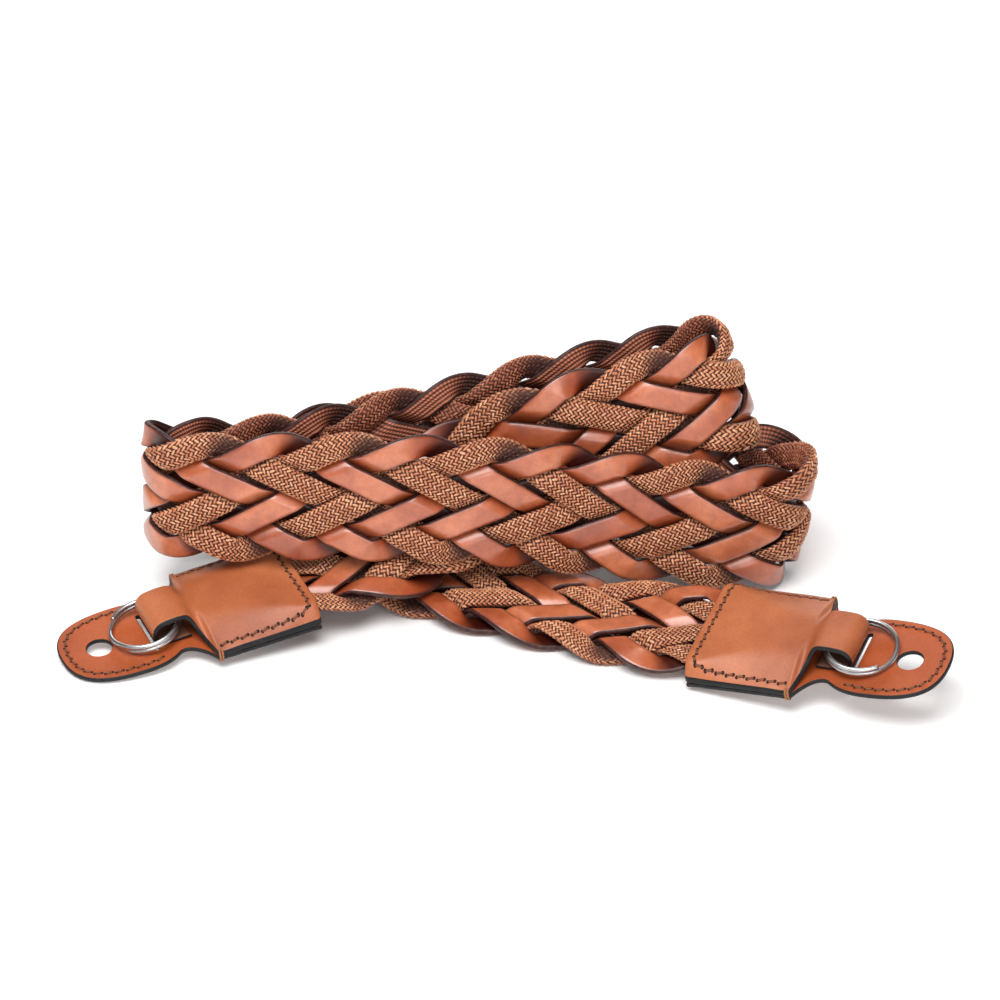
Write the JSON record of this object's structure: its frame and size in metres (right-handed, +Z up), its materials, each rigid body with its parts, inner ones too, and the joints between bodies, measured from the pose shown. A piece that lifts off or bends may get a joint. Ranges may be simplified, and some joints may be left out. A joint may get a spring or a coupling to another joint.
{
  "type": "camera strap",
  "caption": "Flat braid of leather and paracord strands, lying coiled, with a stitched leather end, a split ring and a round leather flap at each end to hang a camera from.",
  "frame": {"origin": "centre of the coiled strap's box, on the surface it lies on", "axes": "+X along the coil's length, from the left end to the right end, +Z up from the surface"},
  "size_m": [0.237, 0.1302, 0.069],
  "materials": {
    "leather": "satin",
    "paracord": "woven",
    "steel": "polished"
  },
  "bodies": {
    "strap": {"leather_strand_1": "leather", "leather_strand_2": "leather", "leather_strand_3": "leather", "leather_strand_4": "leather", "paracord_strand_1": "paracord", "paracord_strand_2": "paracord", "paracord_strand_3": "paracord", "end_cover_right": "leather", "end_cover_left": "leather", "flap_right": "leather", "flap_left": "leather"},
    "ring_right": {"split_ring_right": "steel"},
    "ring_left": {"split_ring_left": "steel"}
  },
  "joints": [
    {"name": "ring_right_swing", "type": "hinge", "parent": "strap", "child": "ring_right", "pos_m": [0.08761, -0.04407, 0.01538], "axis": [-0.3908, -0.8909, -0.2313], "range_deg": [0, 120]},
    {"name": "ring_left_swing", "type": "hinge", "parent": "strap", "child": "ring_left", "pos_m": [-0.0883, -0.02062, 0.00911], "axis": [-0.4162, 0.9033, 0.1041], "range_deg": [0, 120]}
  ]
}
